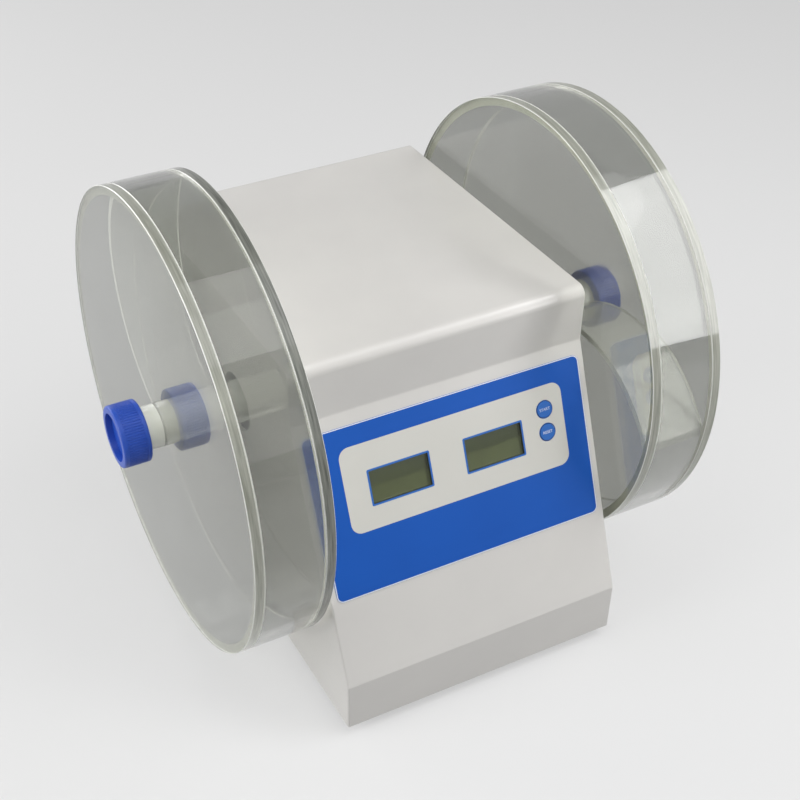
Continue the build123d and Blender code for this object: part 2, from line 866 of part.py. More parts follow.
with BuildPart() as motor_bracket:
    slab((bracket_x, gearbox_x), bracket_span, (tray_top, axis_z + gearbox_radius + bracket_margin))
    slab((bracket_x - bracket_foot_length, gearbox_x), bracket_span, (tray_top, tray_top + bracket_sheet))
    bar_x(bracket_x - sheet, gearbox_x + sheet, motor_boss_radius, y=gear_distance, mode=Mode.SUBTRACT)
    drill(motor_face, motor_screw_places, screw_hole, 2 * bracket_sheet)
    drill(Plane.XY.offset(tray_top), bracket_screw_places, screw_hole, 2 * bracket_sheet)
write("motor_bracket", motor_bracket)

# The small screws inside the cabinet are all alike
board_back = Plane(
    panel_plane.offset(board_top - board_thickness).origin,
    x_dir=panel_plane.x_dir,
    z_dir=-panel_plane.z_dir,
)
with BuildPart() as inner_screws:
    for face, places in (
        (board_back, [(x, -v) for x, v in board_post_places]),
        (Plane.XY.offset(power_board_top), power_post_places),
        (motor_face, motor_screw_places),
        (Plane.XY.offset(tray_top + bracket_sheet), bracket_screw_places),
    ):
        pan_screws(face, places, screw_radius, screw_head_radius, screw_head_height, screw_length)
write("inner_screws", inner_screws)

# Turn counter: a slotted disc on the shaft, read by a forked sensor on the left block
disc_x = -(block_x - block_thickness / 2 - disc_gap)
with BuildPart() as counter_disc:
    bar_x(disc_x - disc_thickness / 2, disc_x + disc_thickness / 2, disc_radius)
    bar_x(disc_x, disc_x + disc_thickness / 2 + disc_boss_length, disc_boss_radius)
    bar_x(
        disc_x - disc_thickness,
        disc_x + disc_thickness + disc_boss_length,
        shaft_radius + shaft_clearance,
        mode=Mode.SUBTRACT,
    )
    with BuildSketch(across(disc_x - disc_thickness)):
        with PolarLocations(disc_radius, disc_slot_count):
            Rectangle(sensor_bite, disc_slot_width)
    extrude(amount=2 * disc_thickness, mode=Mode.SUBTRACT)
write("counter_disc", counter_disc)

sensor_open_y = -(disc_radius - sensor_bite)
sensor_back_y = sensor_open_y - sensor_reach
sensor_half = sensor_slot / 2 + sensor_arm
sensor_low = axis_z - sensor_height / 2
sensor_high = axis_z + sensor_height / 2
with BuildPart() as counter_sensor:
    slab(
        (disc_x - sensor_half, disc_x + sensor_half),
        (sensor_back_y, sensor_open_y),
        (sensor_low, sensor_high),
    )
    slab(
        (disc_x - sensor_slot / 2, disc_x + sensor_slot / 2),
        (-disc_radius - sensor_slot, sensor_open_y + sensor_slot),
        (sensor_low - sensor_slot, sensor_high + sensor_slot),
        mode=Mode.SUBTRACT,
    )
write("counter_sensor", counter_sensor)

bracket_face_y = sensor_back_y - sensor_bracket_sheet
with BuildPart() as sensor_bracket:
    slab(
        (-block_x - block_thickness / 2, disc_x + sensor_half),
        (bracket_face_y, sensor_back_y),
        (sensor_low, sensor_high),
    )
    slab(
        (-block_x - block_thickness / 2, -block_x),
        (sensor_back_y, -block_width / 2),
        (sensor_low, sensor_high),
    )
write("sensor_bracket", sensor_bracket)

# Mains inlet: a flanged body with the socket above and the fuse drawer below
inlet_face_y = back_y + inlet_flange_thickness
inlet_socket_z = inlet_z + socket_rise
drawer_z = inlet_z - drawer_drop
with BuildPart() as power_inlet:
    slab(
        (inlet_x - inlet_flange_width / 2, inlet_x + inlet_flange_width / 2),
        (back_y, inlet_face_y),
        (inlet_z - inlet_flange_height / 2, inlet_z + inlet_flange_height / 2),
    )
    chamfer(power_inlet.faces().sort_by(Axis.Y)[-1].edges(), inlet_flange_thickness / 4)
    slab(
        (inlet_x - inlet_body_width / 2, inlet_x + inlet_body_width / 2),
        (back_y - inlet_body_depth, back_y),
        (inlet_z - inlet_body_height / 2, inlet_z + inlet_body_height / 2),
    )
    with BuildSketch(rear_plane.offset(inlet_flange_thickness)) as opening:
        with Locations((-inlet_x, inlet_socket_z)):
            Rectangle(socket_width, socket_height)
        chamfer(opening.vertices().group_by(Axis.Y)[-1], socket_corner)
    extrude(amount=-socket_recess, mode=Mode.SUBTRACT)
    slab(
        (inlet_x - drawer_width / 2 - drawer_clearance, inlet_x + drawer_width / 2 + drawer_clearance),
        (inlet_face_y - drawer_length - drawer_clearance, inlet_face_y + inlet_flange_thickness),
        (drawer_z - drawer_height / 2 - drawer_clearance, drawer_z + drawer_height / 2 + drawer_clearance),
        mode=Mode.SUBTRACT,
    )
    drill(rear_plane, inlet_screw_places, screw_hole, 2 * sheet)
write("power_inlet", power_inlet)

socket_back_y = inlet_face_y - socket_recess
pin_places = [
    (inlet_x - pin_spacing, inlet_socket_z - earth_pin_rise),
    (inlet_x + pin_spacing, inlet_socket_z - earth_pin_rise),
    (inlet_x, inlet_socket_z + earth_pin_rise),
]
with BuildPart() as inlet_pins:
    for pin_at_x, pin_at_z in pin_places:
        slab(
            (pin_at_x - pin_width / 2, pin_at_x + pin_width / 2),
            (socket_back_y, socket_back_y + pin_length),
            (pin_at_z - pin_height / 2, pin_at_z + pin_height / 2),
        )
    chamfer(inlet_pins.faces().group_by(Axis.Y)[-1].edges(), pin_width / 4)
write("inlet_pins", inlet_pins)

with BuildPart() as inlet_screws:
    pan_screws(
        rear_plane.offset(inlet_flange_thickness),
        inlet_screw_places,
        screw_radius,
        screw_head_radius,
        inlet_screw_head_height,
        screw_length,
    )
write("inlet_screws", inlet_screws)

with BuildPart() as fuse_drawer:
    slab(
        (inlet_x - drawer_width / 2, inlet_x + drawer_width / 2),
        (inlet_face_y - drawer_length, inlet_face_y),
        (drawer_z - drawer_height / 2, drawer_z + drawer_height / 2),
    )
    slab(
        (inlet_x - drawer_width / 4, inlet_x + drawer_width / 4),
        (inlet_face_y, inlet_face_y + drawer_lip),
        (drawer_z + drawer_height / 4, drawer_z + drawer_height / 2),
    )
    slab(
        (inlet_x - drawer_width / 2 + drawer_wall, inlet_x + drawer_width / 2 - drawer_wall),
        (inlet_face_y - drawer_length + drawer_wall, inlet_face_y - drawer_wall),
        (drawer_z - drawer_height / 2 + drawer_wall, drawer_z + drawer_height),
        mode=Mode.SUBTRACT,
    )
write("fuse_drawer", fuse_drawer)

fuse_plane = Plane(
    origin=(inlet_x, inlet_face_y - drawer_length / 2, drawer_z - drawer_height / 2 + drawer_wall),
    x_dir=(1, 0, 0),
    z_dir=(0, 1, 0),
)
with BuildPart() as fuses:
    with Locations(fuse_plane.location):
        with Locations((-1.5 * fuse_radius, -fuse_radius), (1.5 * fuse_radius, -fuse_radius)):
            Cylinder(fuse_radius, fuse_length)
write("fuses", fuses)

# Power switch: a frame in the rear panel and the rocker that tilts in it
pivot_y = back_y + frame_thickness - rocker_pivot_depth
rocker_plane = across(switch_x - rocker_width / 2, pivot_y, switch_z, -rocker_tilt)
pocket_half = rocker_radius + rocker_clearance
with BuildPart() as power_switch_frame:
    slab(
        (switch_x - frame_width / 2, switch_x + frame_width / 2),
        (back_y, back_y + frame_thickness),
        (switch_z - frame_height / 2, switch_z + frame_height / 2),
    )
    chamfer(power_switch_frame.faces().sort_by(Axis.Y)[-1].edges(), frame_thickness / 4)
    slab(
        (switch_x - frame_width / 2 + frame_body_inset, switch_x + frame_width / 2 - frame_body_inset),
        (back_y - frame_body_depth, back_y),
        (switch_z - frame_height / 2 + frame_body_inset, switch_z + frame_height / 2 - frame_body_inset),
    )
    slab(
        (switch_x - rocker_width / 2 - rocker_clearance, switch_x + rocker_width / 2 + rocker_clearance),
        (pivot_y - frame_floor, back_y + 2 * frame_thickness),
        (switch_z - pocket_half, switch_z + pocket_half),
        mode=Mode.SUBTRACT,
    )
write("power_switch_frame", power_switch_frame)

with BuildPart() as power_rocker:
    with BuildSketch(rocker_plane):
        Circle(rocker_radius)
        with Locations((-rocker_tail - rocker_radius, 0)):
            Rectangle(2 * rocker_radius, 4 * rocker_radius, mode=Mode.SUBTRACT)
        with BuildLine():
            Polyline(
                (rocker_valley, 0),
                (rocker_rise, rocker_radius),
                (2 * rocker_radius, rocker_radius),
                (2 * rocker_radius, -rocker_radius),
                (rocker_rise, -rocker_radius),
                close=True,
            )
        make_face(mode=Mode.SUBTRACT)
    extrude(amount=rocker_width)
write("power_rocker", power_rocker)

# The two drums, each a ring with a glued inner plate, hub and scoop, a loose lid and its knob
for name, side, angle in sides:
    with BuildPart() as drum_ring:
        with BuildSketch(across(side * ring_inner_x)):
            Circle(drum_radius)
            Circle(drum_bore_radius, mode=Mode.SUBTRACT)
        extrude(amount=side * drum_depth)
        chamfer(widest_edges(drum_ring), acrylic_edge)
    write(f"{name}_drum_ring", drum_ring)

    with BuildPart() as inner_plate:
        with BuildSketch(across(side * drum_inner_x)):
            Circle(drum_radius)
            Circle(hub_radius + glue_gap, mode=Mode.SUBTRACT)
        extrude(amount=side * plate_thickness)
        chamfer(widest_edges(inner_plate), acrylic_edge)
    write(f"{name}_drum_inner_plate", inner_plate)

    with BuildPart() as hub_tube:
        bar_x(side * hub_inner_x, side * (lid_inner_x - neck_gap), hub_radius)
        bar_x(side * hub_inner_x, side * hub_outer_x, spigot_radius)
        bar_x(side * hub_inner_x, side * hub_outer_x, hub_bore_radius, mode=Mode.SUBTRACT)
        with Locations((side * pin_x, 0, axis_z)):
            Cylinder(cross_pin_radius + hole_clearance / 2, 4 * hub_radius, mode=Mode.SUBTRACT)
    write(f"{name}_hub_tube", hub_tube)

    with BuildPart() as scoop:
        with BuildSketch(across(side * ring_inner_x, turn=angle)):
            with Locations((scoop_centre_distance, 0)):
                Circle(scoop_inner_radius + scoop_thickness)
                Circle(scoop_inner_radius, mode=Mode.SUBTRACT)
            Circle(drum_bore_radius - glue_gap, mode=Mode.INTERSECT)
            with Locations((0, -drum_radius)):
                Rectangle(4 * drum_radius, 2 * drum_radius, mode=Mode.INTERSECT)
            Circle(hub_radius + glue_gap, mode=Mode.SUBTRACT)
        extrude(amount=side * (drum_depth - glue_gap))
    write(f"{name}_scoop", scoop)

    with BuildPart() as drum_lid:
        bar_x(side * lid_inner_x, side * lid_outer_x, drum_radius)
        chamfer(widest_edges(drum_lid), acrylic_edge)
        bar_x(side * lid_outer_x, side * (knob_inner_x - neck_gap), hub_radius)
        bar_x(
            side * lid_inner_x, side * knob_inner_x, spigot_radius + lid_clearance, mode=Mode.SUBTRACT
        )
    write(f"{name}_drum_lid", drum_lid)

    outwards = Plane(origin=(side * knob_inner_x, 0, axis_z), x_dir=(side, 0, 0), z_dir=(0, 0, 1))
    with BuildPart() as knob:
        with BuildSketch(outwards) as knob_profile:
            with BuildLine():
                Polyline(
                    (0, spigot_radius + knob_thread_clearance),
                    (0, knob_radius),
                    (knob_length, knob_radius),
                    (knob_length, knob_recess_radius),
                    (knob_length - knob_recess_depth, knob_recess_radius - knob_draft),
                    (knob_length - knob_recess_depth, 0),
                    (knob_thread_depth, 0),
                    (knob_thread_depth, spigot_radius + knob_thread_clearance),
                    close=True,
                )
            make_face()
            fillet(knob_profile.vertices().group_by(Axis.Y)[-1], knob_edge_round)
        revolve(axis=Axis((0, 0, axis_z), (1, 0, 0)))
        with BuildSketch(across(side * (knob_inner_x + knob_grip_margin))):
            with PolarLocations(knob_radius, knob_grip_count):
                Circle(knob_grip_radius)
        extrude(amount=side * (knob_length - 2 * knob_grip_margin), mode=Mode.SUBTRACT)
    write(f"{name}_knob", knob)
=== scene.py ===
# %% [markdown]
# A two-drum tablet friability tester: a small sheet-metal cabinet with a sloped front, a blue printed
# label with two displays and two buttons, and a clear acrylic drum clamped at each side by a blue knob.
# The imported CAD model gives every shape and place. This script gives the surfaces, the print on the
# label, the light and the camera.

# %% Load the frame
import bpy
import bmesh
from math import atan2, cos, hypot, pi, radians, sin
from mathutils import Matrix, Vector


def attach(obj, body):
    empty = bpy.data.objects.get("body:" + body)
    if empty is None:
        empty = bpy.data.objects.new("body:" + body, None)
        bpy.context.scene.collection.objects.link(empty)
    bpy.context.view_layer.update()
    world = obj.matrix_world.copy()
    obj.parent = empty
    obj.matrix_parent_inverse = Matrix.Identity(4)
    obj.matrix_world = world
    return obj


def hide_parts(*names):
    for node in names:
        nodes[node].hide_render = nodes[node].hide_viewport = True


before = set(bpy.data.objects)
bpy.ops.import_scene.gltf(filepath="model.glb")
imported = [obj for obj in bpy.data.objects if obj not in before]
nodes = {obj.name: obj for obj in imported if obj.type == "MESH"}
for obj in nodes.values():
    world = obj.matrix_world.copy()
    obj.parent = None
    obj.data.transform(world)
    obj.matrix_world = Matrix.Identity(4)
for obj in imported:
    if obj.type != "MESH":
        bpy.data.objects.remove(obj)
bpy.context.scene.view_settings.view_transform = "Standard"
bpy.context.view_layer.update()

# %% [markdown]
# All lengths below are metres. The sloped panel starts at a crease above the front lip and leans back,
# so a point on it is given as x across, v up the slope and a height above the sheet.

# %% Panel frame
front_y = -0.146
crease_z = 0.0435
slope = atan2(0.0655, 0.1595)
panel = Matrix(
    (
        (1, 0, 0, 0),
        (0, sin(slope), -cos(slope), front_y),
        (0, cos(slope), sin(slope), crease_z),
        (0, 0, 0, 1),
    )
)
axis_z = 0.170
print("panel leans back", round(slope * 180 / pi, 2), "degrees")

# %% [markdown]
# The camera was solved from the drum circles, the knobs and the cabinet's edges in the photograph.
# The photograph is cropped off-centre, which the small lens shift reproduces.

# %% Camera
def aim_camera(target, azimuth, elevation, roll, distance, focal_pixels, centre, width=800):
    a, e, r = radians(azimuth), radians(elevation), radians(roll)
    back = Vector((sin(a) * cos(e), -cos(a) * cos(e), sin(e)))
    right = (-back).cross(Vector((0, 0, 1))).normalized()
    up = right.cross(-back)
    turned = right * cos(r) + up * sin(r)
    upright = -right * sin(r) + up * cos(r)
    data = bpy.data.cameras.new("camera")
    camera = bpy.data.objects.new("camera", data)
    bpy.context.scene.collection.objects.link(camera)
    place = Matrix((turned, upright, back)).transposed().to_4x4()
    place.translation = Vector(target) + back * distance
    camera.matrix_world = place
    data.sensor_width = 36.0
    data.lens = data.sensor_width * focal_pixels / width
    data.shift_x = (width / 2 - centre[0]) / width
    data.shift_y = (centre[1] - width / 2) / width
    data.clip_end = 50
    bpy.context.scene.camera = camera
    return camera


camera = aim_camera(
    target=(-0.03089, 0, 0.09465),
    azimuth=-26.1,
    elevation=38.65,
    roll=-0.83,
    distance=0.94035,
    focal_pixels=1373.75,
    centre=(339.9, 461.6),
)
shift = (round(camera.data.shift_x, 3), round(camera.data.shift_y, 3))
print("lens", round(camera.data.lens, 1), "mm, shift", shift)

# %% [markdown]
# Two small tools serve every material: one turns an sRGB hex colour into Blender's linear values,
# and one adds a node with its settings and its links.

# %% Colour and node helpers
per_metre = 1000


def shade(hex_colour):
    channels = [int(hex_colour[i : i + 2], 16) / 255 for i in (1, 3, 5)]
    linear = [c / 12.92 if c <= 0.04045 else ((c + 0.055) / 1.055) ** 2.4 for c in channels]
    return (*linear, 1.0)


def add(material, kind, inputs=None, **settings):
    node = material.node_tree.nodes.new(kind)
    for name, value in settings.items():
        setattr(node, name, value)
    for name, value in (inputs or {}).items():
        if isinstance(value, bpy.types.NodeSocket):
            material.node_tree.links.new(value, node.inputs[name])
        else:
            node.inputs[name].default_value = value
    return node


def blank(name):
    material = bpy.data.materials.new(name)
    material.use_nodes = True
    material.node_tree.nodes.clear()
    return material


print("white is", shade("#ffffff"))

# %% [markdown]
# A moulded, painted or machined surface differs from a flat colour in two ways: a texture you feel,
# which bends the reflections, and a slow unevenness of gloss and tone. The next function builds both on
# one Principled shader, from sizes in millimetres, and the materials below differ in their numbers.

# %% Solid surfaces
glossiest = 0.02


def surface(
    name,
    colour,
    second,
    roughness,
    grain_mm,
    bump_mm,
    metallic=0.0,
    coat=0.0,
    coat_roughness=0.15,
    blotch_mm=40.0,
    stretch=(1, 1, 1),
    spread=0.12,
    specular=0.5,
):
    m = blank(name)
    where = add(m, "ShaderNodeTexCoord").outputs["Object"]
    laid = add(m, "ShaderNodeMapping", {"Vector": where, "Scale": stretch}).outputs["Vector"]
    grain = add(
        m,
        "ShaderNodeTexNoise",
        {"Vector": laid, "Scale": per_metre / grain_mm, "Detail": 3.0, "Roughness": 0.55},
    )
    blotch = add(m, "ShaderNodeTexNoise", {"Vector": where, "Scale": per_metre / blotch_mm, "Detail": 4.0})
    tone = add(m, "ShaderNodeMix", {"Factor": blotch.outputs["Fac"]}, data_type="RGBA")
    tone.inputs[6].default_value = shade(colour)
    tone.inputs[7].default_value = shade(second)
    gloss = add(
        m,
        "ShaderNodeMapRange",
        {
            "Value": grain.outputs["Fac"],
            "From Min": 0.3,
            "From Max": 0.7,
            "To Min": max(glossiest, roughness - spread / 2),
            "To Max": min(1.0, roughness + spread / 2),
        },
    )
    bump = add(
        m,
        "ShaderNodeBump",
        {"Height": grain.outputs["Fac"], "Distance": bump_mm / per_metre, "Strength": 1.0},
    )
    shader = add(
        m,
        "ShaderNodeBsdfPrincipled",
        {
            "Base Color": tone.outputs[2],
            "Roughness": gloss.outputs["Result"],
            "Normal": bump.outputs["Normal"],
            "Metallic": metallic,
            "Coat Weight": coat,
            "Coat Roughness": coat_roughness,
            "Specular IOR Level": specular,
        },
    )
    add(m, "ShaderNodeOutputMaterial", {"Surface": shader.outputs["BSDF"]})
    return m


# Powder coat on folded steel: warm light grey, satin, with a faint orange peel about 1 mm across
powder_coat = surface(
    "powder_coated_steel", "#d7d5d1", "#cfcdca", 0.34, 1.1, 0.009, coat=0.5, coat_roughness=0.14
)
# Injection-moulded ABS for the knobs: strong blue, slightly soft gloss from a spark-eroded mould
blue_abs = surface("moulded_blue_abs", "#1e4fba", "#1a45a9", 0.36, 0.35, 0.012, blotch_mm=12)
# Screen-printed polyester film: flat blue ink under a smooth film
blue_ink = surface("blue_printed_film", "#1158b8", "#0d50ac", 0.5, 0.6, 0.003, spread=0.06, specular=0.25)
# The paler blue of the button caps and the printed rims round the displays
rim_blue = surface("blue_printed_rim", "#2d6cc0", "#2864b6", 0.4, 0.6, 0.003, spread=0.06, specular=0.3)
# The unprinted pale window of the film
pale_ink = surface("pale_printed_film", "#d3d2cc", "#cdccc6", 0.40, 0.6, 0.003, spread=0.06)
# White printing ink of the legends
white_ink = surface("white_printing_ink", "#e6ebf0", "#dde4ec", 0.4, 0.5, 0.002, spread=0.05)
# Moulded black plastics of the inlet, switch, drawer and small components
black_abs = surface("moulded_black_abs", "#1b1b1d", "#232325", 0.45, 0.3, 0.015, blotch_mm=15)
# Rubber feet
rubber = surface("black_rubber", "#1d1d1d", "#262625", 0.8, 0.5, 0.03, blotch_mm=10)
# Nickel-plated steel screws, pins, races and shafts, turned, so the grain runs round
plated_steel = surface(
    "plated_steel", "#a9abae", "#9a9c9f", 0.28, 0.5, 0.002, metallic=1.0, stretch=(6, 1, 1)
)
# Zinc-plated bracket sheet
zinc_sheet = surface("zinc_plated_sheet", "#9fa2a6", "#8c9094", 0.4, 0.8, 0.004, metallic=1.0)
# Machined aluminium of the blocks, sockets and gearbox
machined_aluminium = surface(
    "machined_aluminium", "#b7b9bc", "#a6a8ac", 0.32, 0.4, 0.003, metallic=1.0, stretch=(1, 1, 8)
)
# Brass pinion and contact pins
brass = surface("turned_brass", "#c4a055", "#b08d48", 0.26, 0.4, 0.002, metallic=1.0)
# Natural nylon of the big gear
nylon = surface("natural_nylon", "#dcd9cb", "#d2cebf", 0.5, 0.6, 0.01)
# Lacquered motor can and transformer
motor_can = surface("lacquered_motor_can", "#303338", "#3a3d42", 0.35, 0.6, 0.005, coat=0.3)
# Circuit boards: green solder mask over glass fibre
board_green = surface("solder_mask_green", "#1f5a36", "#19492c", 0.35, 0.5, 0.008, coat=0.3)
# The small bevel along a sheet's rim is scraped flat; its near-white colour is a painted highlight, for the
# light the sheet gathers into a pale line there
bevel_painted_highlight = surface("scraped_bevel_painted_highlight", "#f0f1ec", "#e2e3dd", 0.3, 1.0, 0.003, coat=0.5)
# The thin edges of the curved vanes are polished, and painted near-white, paler than a sawn rim: painted
# light on edges the lamps barely reach
painted_light_vane_edge = surface("acrylic_vane_painted_light", "#eff1e8", "#e3e5db", 0.2, 2.0, 0.003, coat=0.5)
print("solid surfaces", len(bpy.data.materials))

# %% [markdown]
# The rim of a sawn and scraped acrylic disc isn't clear: it scatters the light that runs along the
# sheet, and comes out yellowish grey. So half of its light is let through, roughly, and half is spread
# by its surface. The scraper leaves fine lines that run round the rim. On every disc here the drum axis
# is X, so a noise squeezed along X draws lines that follow the rim without a seam.

# %% Sawn rim
acrylic_ior = 1.49
scraper_depth = 0.00002


def sawn_rim(name, dark, light, across_mm=1.1, along_mm=26.0):
    m = blank(name)
    where = add(m, "ShaderNodeTexCoord").outputs["Object"]
    laid = add(m, "ShaderNodeMapping", {"Vector": where, "Scale": (along_mm / across_mm, 1, 1)})
    lines = add(
        m,
        "ShaderNodeTexNoise",
        {"Vector": laid.outputs["Vector"], "Scale": per_metre / along_mm, "Detail": 3.0, "Roughness": 0.6},
    )
    share = add(
        m, "ShaderNodeMapRange", {"Value": lines.outputs["Fac"], "From Min": 0.34, "From Max": 0.66}
    )
    tone = add(m, "ShaderNodeMix", {"Factor": share.outputs["Result"]}, data_type="RGBA")
    tone.inputs[6].default_value = shade(dark)
    tone.inputs[7].default_value = shade(light)
    bump = add(
        m, "ShaderNodeBump", {"Height": lines.outputs["Fac"], "Distance": scraper_depth, "Strength": 1.0}
    )
    shader = add(
        m,
        "ShaderNodeBsdfPrincipled",
        {
            "Base Color": tone.outputs[2],
            "Normal": bump.outputs["Normal"],
            "Roughness": 0.45,
            "IOR": acrylic_ior,
            "Transmission Weight": 0.55,
            "Coat Weight": 1.0,
            "Coat Roughness": 0.08,
        },
    )
    add(m, "ShaderNodeOutputMaterial", {"Surface": shader.outputs["BSDF"]})
    return m


pale_rim = sawn_rim("pale_sawn_rim", "#a9ac9b", "#d3d5c6")
# A darker copy of the same sawn rim, for the left inner plate: painted shade
rim_painted_shade = sawn_rim("sawn_rim_painted_shade", "#5f635a", "#a0a398")
# The ring's end faces get a pale copy of the sawn rim: painted light, as these faces sit in shade behind
# the plates
ring_end = sawn_rim("ring_end_painted_light", "#cdd0b9", "#e2e4d0", across_mm=8.0)
print("rims", pale_rim.name, rim_painted_shade.name, ring_end.name)

# %% [markdown]
# Cast acrylic is clear, but a sheet of it is never invisible: both faces reflect, and handling leaves
# hairline scratches. The shader is glass with acrylic's refractive index. Scratches come from noise
# stretched along the sheet. Lamps reach what is behind it through a Transparent shader, which keeps
# the shadows light.

# %% Clear acrylic
scratch_stretch = 14
smears_per_metre = 28.0


def clear_sheet(name, tint, lamp_tint, scratch_mm=1.2, haze_most=0.12, clearness=1.0):
    m = blank(name)
    where = add(m, "ShaderNodeTexCoord").outputs["Object"]
    turned = add(
        m,
        "ShaderNodeMapping",
        {"Vector": where, "Rotation": (0.6, 0.2, 0.0), "Scale": (1, 1, scratch_stretch)},
    )
    hairlines = add(
        m,
        "ShaderNodeTexNoise",
        {
            "Vector": turned.outputs["Vector"],
            "Scale": per_metre / scratch_mm / scratch_stretch,
            "Detail": 5.0,
            "Roughness": 0.6,
        },
    )
    smears = add(m, "ShaderNodeTexNoise", {"Vector": where, "Scale": smears_per_metre, "Detail": 3.0})
    both = add(
        m,
        "ShaderNodeMath",
        {0: hairlines.outputs["Fac"], 1: smears.outputs["Fac"]},
        operation="MULTIPLY",
    )
    haze = add(
        m,
        "ShaderNodeMapRange",
        {
            "Value": both.outputs["Value"],
            "From Min": 0.2,
            "From Max": 0.45,
            "To Min": 0.0,
            "To Max": haze_most,
        },
    )
    glass = add(
        m,
        "ShaderNodeBsdfPrincipled",
        {
            "Base Color": shade(tint),
            "Roughness": haze.outputs["Result"],
            "IOR": acrylic_ior,
            "Transmission Weight": clearness,
        },
    )
    lamp_path = add(m, "ShaderNodeBsdfTransparent", {"Color": shade(lamp_tint)})
    ray = add(m, "ShaderNodeLightPath")
    mix = add(
        m,
        "ShaderNodeMixShader",
        {0: ray.outputs["Is Shadow Ray"], 1: glass.outputs["BSDF"], 2: lamp_path.outputs["BSDF"]},
    )
    add(m, "ShaderNodeOutputMaterial", {"Surface": mix.outputs["Shader"]})
    return m


acrylic = clear_sheet("cast_acrylic", "#cbccc9", "#fbfbfa")
# The scoops are bent from thin sheet and a little milky at the bend
scoop_acrylic = clear_sheet("bent_acrylic_sheet", "#f0f1ec", "#fbfbfa", clearness=0.88)
window_glass = clear_sheet("display_window_glass", "#e4e8e4", "#f4f6f4", scratch_mm=3.0, haze_most=0.04)
# The turned hub tubes are a little milky from the lathe and from the cement at their joints
hub_acrylic = clear_sheet(
    "turned_acrylic_tube", "#fbfcf6", "#fbfbfa", scratch_mm=0.6, haze_most=0.15, clearness=0.6
)
print("clear materials", acrylic.name, scoop_acrylic.name, hub_acrylic.name)

# %% [markdown]
# The liquid crystal displays are switched off: an olive-grey cell, a little cloudy.

# %% Display cell
def display_cell(name):
    m = blank(name)
    where = add(m, "ShaderNodeTexCoord").outputs["Object"]
    cloud = add(m, "ShaderNodeTexNoise", {"Vector": where, "Scale": 60.0, "Detail": 2.0})
    tone = add(m, "ShaderNodeMix", {"Factor": cloud.outputs["Fac"]}, data_type="RGBA")
    tone.inputs[6].default_value = shade("#5f663a")
    tone.inputs[7].default_value = shade("#525934")
    shader = add(
        m,
        "ShaderNodeBsdfPrincipled",
        {"Base Color": tone.outputs[2], "Roughness": 0.45, "Coat Weight": 0.1},
    )
    add(m, "ShaderNodeOutputMaterial", {"Surface": shader.outputs["BSDF"]})
    return m


cell = display_cell("liquid_crystal_cell")
print("display cell", cell.name)

# %% [markdown]
# Each CAD node gets the finish of what it is made of.

# %% Dress the CAD nodes
finishes = {
    powder_coat: ["housing_wrap", "left_side_panel", "right_side_panel", "rear_panel", "base_plate"],
    window_glass: ["display_windows", "fuses"],
    cell: ["left_display", "right_display"],
    blue_abs: ["left_knob", "right_knob"],
    blue_ink: ["front_label"],
    rim_blue: ["start_button", "reset_button"],
    rubber: ["rubber_feet"],
    plated_steel: [
        "foot_screws", "cover_screws", "inner_screws", "block_screws", "inlet_screws", "main_shaft",
        "bearing_outer_races", "bearing_inner_races", "bearing_balls", "hub_cross_pins",
        "socket_grub_screws", "motor_shaft", "counter_disc",
    ],
    zinc_sheet: ["motor_bracket", "sensor_bracket"],
    machined_aluminium: [
        "bearing_blocks", "left_drive_socket", "right_drive_socket", "motor_gearbox", "capacitors",
        "board_posts",
    ],
    brass: ["motor_pinion", "inlet_pins"],
    nylon: ["drive_gear"],
    motor_can: ["gear_motor", "transformer"],
    board_green: ["control_board", "power_board"],
    black_abs: [
        "control_chips", "button_switches", "counter_sensor", "power_inlet", "fuse_drawer",
        "power_switch_frame", "power_rocker",
    ],
}


def dress(piece, material):
    piece.data.materials.clear()
    piece.data.materials.append(material)


for material, names in finishes.items():
    for name in names:
        dress(nodes[name], material)
dressed = {name for names in finishes.values() for name in names}
print("still to dress", sorted(set(nodes) - dressed))

# %% [markdown]
# The acrylic pieces need up to three finishes each: clear faces, a sawn rim and its bevels, which are
# painted pale as a highlight. They could come from a mask in the material, but faces with their own
# material slot are exact. The packed mesh stays as it is, so a merged copy of it carries the slots. The
# sawn faces are the outer rim of a disc, and the two end faces of a ring or a vane. A bevel is told by its
# slanted normal at the rim, and a lid's milky neck by how near it is to the drum axis.

# %% Acrylic pieces with finished edges
disc_edge = 0.1484
neck_reach = 0.016
crease_degrees = 28
clear_face, sawn_face, bevel_face, neck_face = range(4)


def from_axis(face):
    middle = face.calc_center_median()
    return hypot(middle.y, middle.z - axis_z)


def across_axis(face):
    return abs(face.normal.x) > 0.6


def bevelled(face):
    return from_axis(face) > disc_edge and 0.3 < abs(face.normal.x) < 0.95


def disc_finish(face):
    if from_axis(face) <= disc_edge:
        return clear_face
    return bevel_face if bevelled(face) else sawn_face


def vane_finish(face):
    return sawn_face if across_axis(face) else clear_face


def ring_finish(face):
    return bevel_face if bevelled(face) else vane_finish(face)


def tube_finish(face):
    return clear_face


def lid_finish(face):
    if from_axis(face) < neck_reach and abs(face.normal.x) < 0.5:
        return neck_face
    return disc_finish(face)


def acrylic_copy(name, body, finish_of, clear, edge):
    shape = bmesh.new()
    shape.from_mesh(nodes[name].data)
    bmesh.ops.remove_doubles(shape, verts=shape.verts, dist=1e-6)
    for face in shape.faces:
        face.smooth = abs(face.normal.x) < 0.99
        face.material_index = finish_of(face)
    mesh = bpy.data.meshes.new(name + "_clear")
    shape.to_mesh(mesh)
    shape.free()
    if "custom_normal" in mesh.attributes:
        mesh.attributes.remove(mesh.attributes["custom_normal"])
    for material in (clear, edge, bevel_painted_highlight, hub_acrylic):
        mesh.materials.append(material)
    mesh.set_sharp_from_angle(angle=radians(crease_degrees))
    piece = bpy.data.objects.new(name + "_clear", mesh)
    bpy.context.scene.collection.objects.link(piece)
    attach(piece, body)
    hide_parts(name)
    return piece
